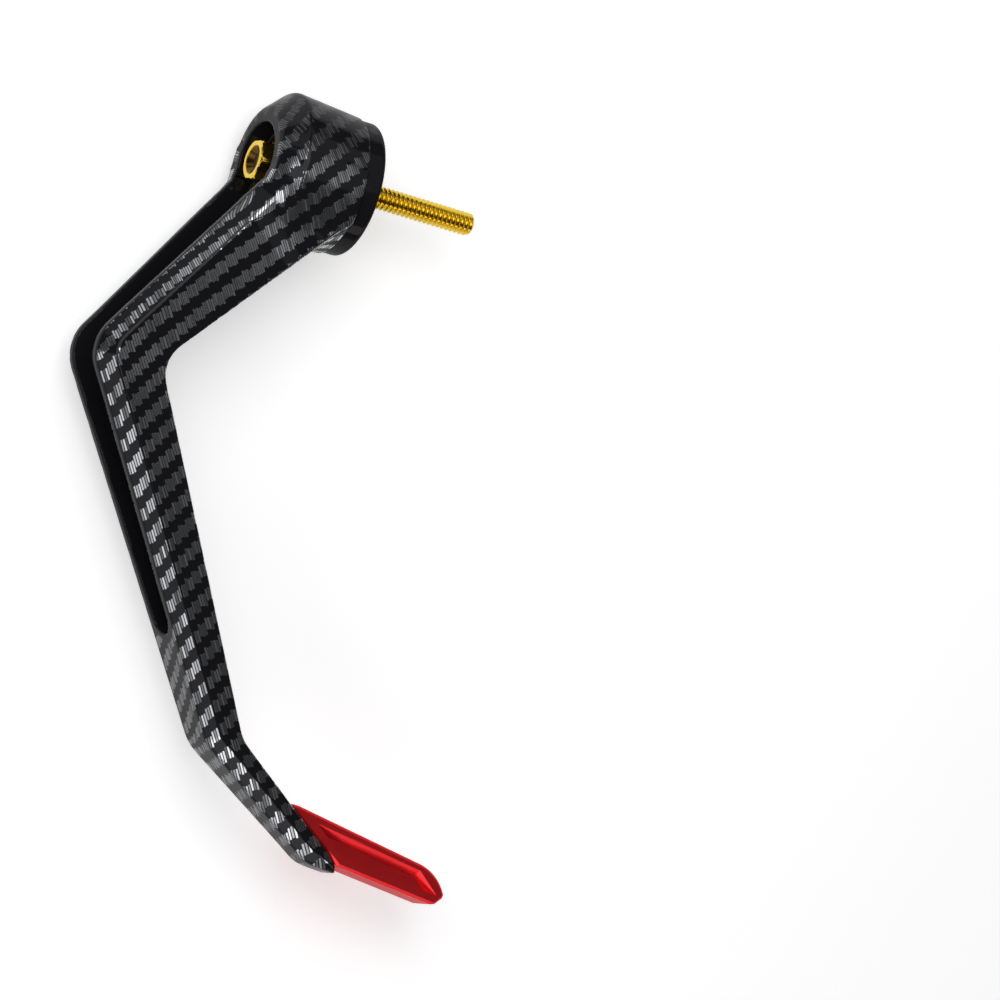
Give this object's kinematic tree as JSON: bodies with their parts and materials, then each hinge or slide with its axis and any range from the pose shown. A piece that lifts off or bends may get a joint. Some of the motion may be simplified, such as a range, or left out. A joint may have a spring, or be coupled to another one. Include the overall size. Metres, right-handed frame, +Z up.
{
  "type": "motorcycle lever guard",
  "caption": "Bent lever guard arm with a carbon-look skin, a bar-end ring, a gold mounting bolt and a red metal tip blade; keeps the lever from being knocked",
  "frame": {"origin": "middle of the spacer ring's bar-side face, on the bolt's axis", "axes": "+X along the bolt into the handlebar, -Y forward from the handlebar to the tip, +Z up"},
  "size_m": [0.1298, 0.189, 0.039],
  "materials": {
    "carbon_film": "moulded plastic under a glossy twill-weave film",
    "ring_black": "satin black",
    "bolt_gold": "gold-coloured plating",
    "blade_red": "red anodised, fine satin",
    "screw_steel": "dark oxide"
  },
  "bodies": {
    "root": {"guard_arm": "carbon_film", "bar_end_ring": "ring_black", "mounting_bolt": "bolt_gold", "tip_blade": "blade_red", "tip_screw_root": "screw_steel", "tip_screw_toe": "screw_steel"}
  },
  "joints": []
}
